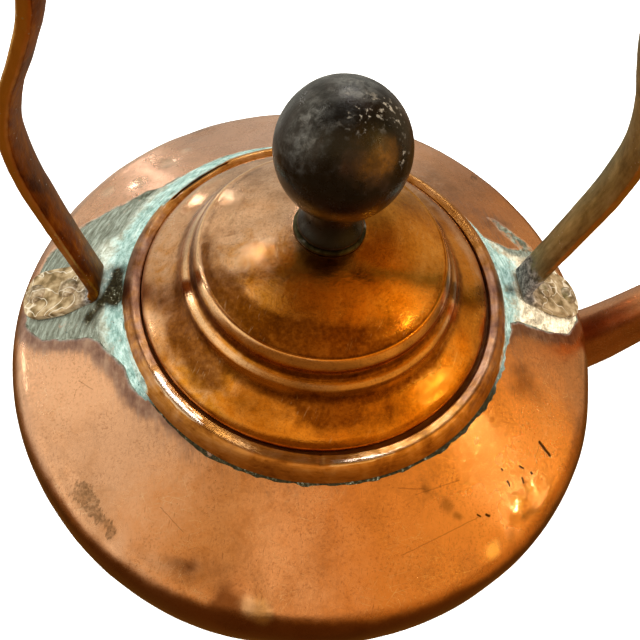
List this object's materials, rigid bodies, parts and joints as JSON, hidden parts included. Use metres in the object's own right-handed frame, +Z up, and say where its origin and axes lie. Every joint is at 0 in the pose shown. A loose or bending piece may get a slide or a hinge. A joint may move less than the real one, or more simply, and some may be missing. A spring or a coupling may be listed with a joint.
{
  "type": "copper kettle",
  "caption": "Wide, low copper range kettle with a lift-off domed lid, dark ball knob, fixed overhead strap handle with a turned grip, and goose-neck spout.",
  "frame": {"origin": "centre of the flat base, on the surface that the kettle stands on", "axes": "+Z up through the middle of the lid and knob; +X to the spout, in the plane of the handle; +Y completes the right-handed frame"},
  "size_m": [0.3323, 0.2576, 0.2685],
  "materials": {
    "body_copper": "aged copper, satin, hand polished, with dents and heat stains",
    "collar_copper": "aged copper, purple-brown tarnish with rubbed edges",
    "lid_copper": "polished orange-gold copper with fine turning lines and brown tarnish",
    "strap_brass": "olive-brown tarnished brass with rubbed bright edges",
    "rivet_copper": "copper rivet heads dulled with solder",
    "solder": "rough soft solder with mint-green verdigris",
    "black_wood": "turned hardwood, blackened and worn to a soft polish",
    "iron": "dark wrought iron, lightly rusted"
  },
  "bodies": {
    "kettle": {"body_shoulder": "body_copper", "body_wall": "body_copper", "base_plate": "body_copper", "collar_ring": "collar_copper", "collar_seat": "collar_copper", "collar_solder": "solder", "spout_tube": "body_copper", "spout_solder": "solder", "handle_upright_left": "strap_brass", "handle_upright_right": "strap_brass", "foot_solder_left": "solder", "foot_solder_right": "solder", "foot_rivet_left_inner": "rivet_copper", "foot_rivet_left_outer": "rivet_copper", "foot_rivet_right_inner": "rivet_copper", "foot_rivet_right_outer": "rivet_copper", "handle_grip": "black_wood", "grip_ferrule_left": "strap_brass", "grip_ferrule_right": "strap_brass", "grip_rod": "iron"},
    "lid": {"lid_dome": "lid_copper", "lid_bezel": "lid_copper", "knob_seat_ring": "strap_brass", "knob_stud": "iron", "knob_washer": "strap_brass", "knob_nut": "iron"},
    "knob": {"knob_ball": "black_wood"}
  },
  "joints": [
    {"name": "lid_lift", "type": "slide", "parent": "kettle", "child": "lid", "axis": [0, 0, 1], "range_m": [0, 0.026]},
    {"name": "knob_turn", "type": "hinge", "parent": "lid", "child": "knob", "pos_m": [0, 0, 0.1932], "axis": [0, 0, 1], "continuous": true}
  ]
}
